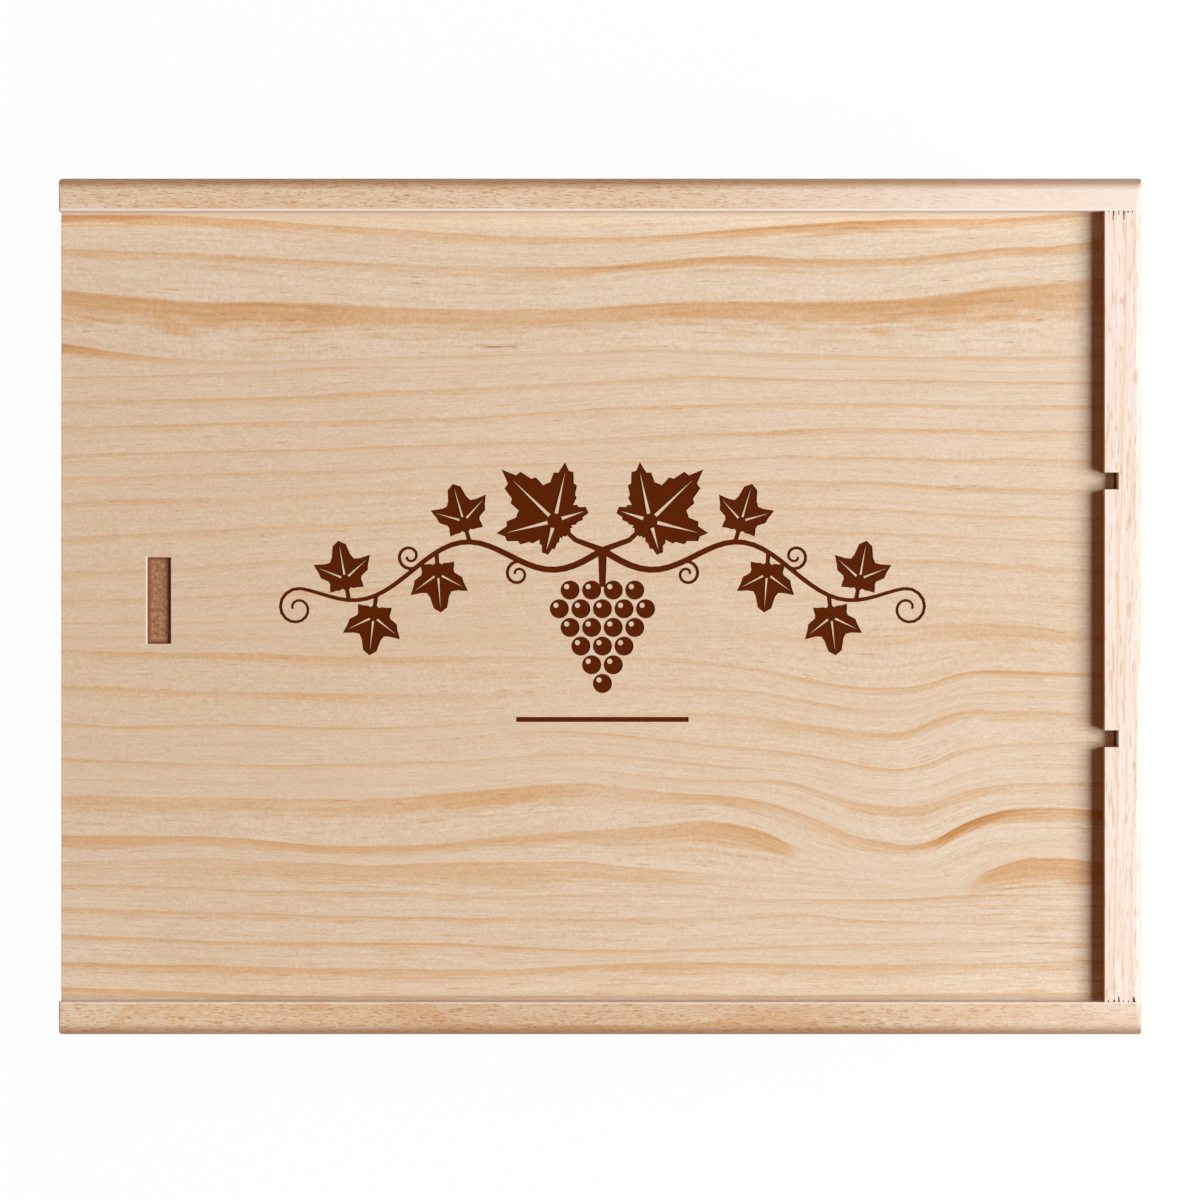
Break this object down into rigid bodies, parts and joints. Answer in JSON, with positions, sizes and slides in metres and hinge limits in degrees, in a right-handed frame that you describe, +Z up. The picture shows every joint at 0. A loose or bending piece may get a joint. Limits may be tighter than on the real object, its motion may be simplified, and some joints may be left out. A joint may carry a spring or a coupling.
{
  "type": "wooden wine box with sliding lid",
  "caption": "Flat pine box for wine bottles side by side, with grooved side boards, slotted-in dividers and a sliding lid with a thumb slot and a burnt vine ornament.",
  "frame": {"origin": "centre of the footprint, on the surface the box stands on", "axes": "+X towards the rear end board, +Y towards the left side board, +Z up; the lid draws out towards -X"},
  "size_m": [0.35, 0.2774, 0.1],
  "materials": {
    "side_pine": "sanded, unfinished pine with short brown resin dashes",
    "end_pine": "sanded, unfinished pale pine with fine streaks",
    "panel_pine": "planed, unfinished pine",
    "lid_pine": "sanded, unfinished pine with golden growth bands",
    "brad_steel": "bright drawn steel wire"
  },
  "bodies": {
    "box": {"side_board_left": "side_pine", "side_board_right": "side_pine", "front_board": "end_pine", "rear_board": "end_pine", "bottom_panel": "panel_pine", "divider_left": "panel_pine", "divider_right": "panel_pine", "brads_front_left": "brad_steel", "brads_front_right": "brad_steel", "brads_rear_left": "brad_steel", "brads_rear_right": "brad_steel"},
    "lid": {"sliding_lid": "lid_pine"}
  },
  "joints": [
    {"name": "lid_slide", "type": "slide", "parent": "box", "child": "lid", "axis": [-1, 0, 0], "range_m": [0, 0.3419]}
  ]
}
